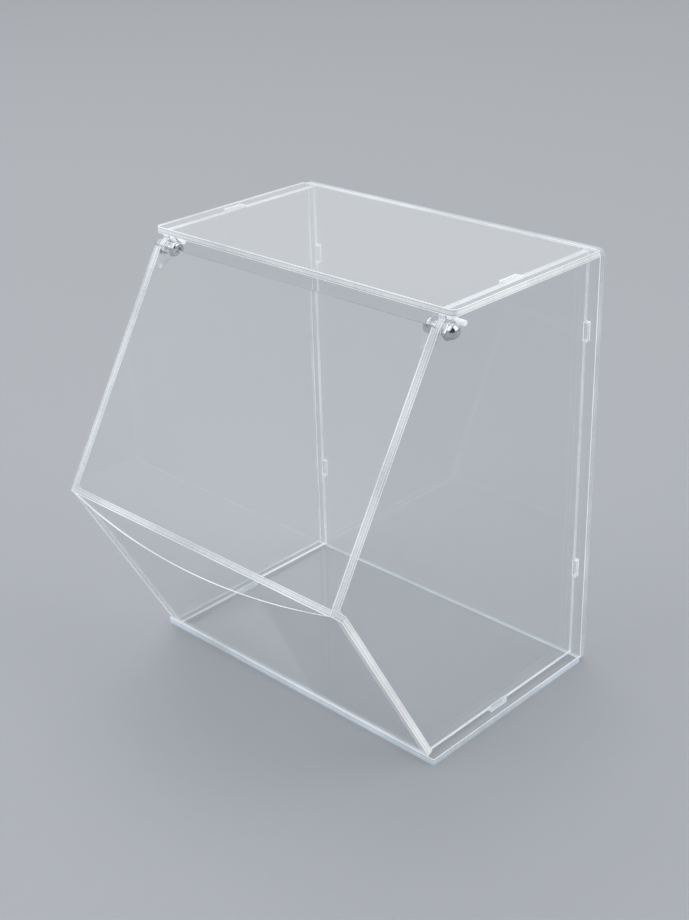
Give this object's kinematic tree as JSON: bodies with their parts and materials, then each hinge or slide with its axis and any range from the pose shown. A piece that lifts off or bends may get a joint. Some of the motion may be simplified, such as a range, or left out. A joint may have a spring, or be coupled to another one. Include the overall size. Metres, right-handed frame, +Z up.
{
  "type": "dispenser box",
  "caption": "Clear acrylic bulk dispenser box with slotted side panels, a leaning lower front plate and a hinged front lid with a bowed finger lip",
  "frame": {"origin": "on the surface that the box stands on, under the middle of its overall width and depth", "axes": "+X to the right seen from the front, -Y to the front where the lid is, +Z up"},
  "size_m": [0.1736, 0.1652, 0.2],
  "materials": {
    "acrylic": "clear cast sheet with polished cut edges",
    "lid_acrylic": "clear cast sheet with polished cut edges",
    "chrome": "polished"
  },
  "bodies": {
    "box": {"base_plate": "acrylic", "back_plate": "acrylic", "top_plate": "acrylic", "lower_front_plate": "acrylic", "left_side_panel": "acrylic", "right_side_panel": "acrylic", "left_hinge_screw": "chrome", "right_hinge_screw": "chrome", "left_acorn_nut": "chrome", "right_acorn_nut": "chrome", "left_stop_peg": "acrylic", "right_stop_peg": "acrylic"},
    "lid": {"lid": "lid_acrylic", "left_lid_ear": "lid_acrylic", "right_lid_ear": "lid_acrylic"}
  },
  "joints": [
    {"name": "lid_hinge", "type": "hinge", "parent": "box", "child": "lid", "pos_m": [0, -0.01201, 0.191], "axis": [-1, 0, 0], "range_deg": [0, 48]}
  ]
}
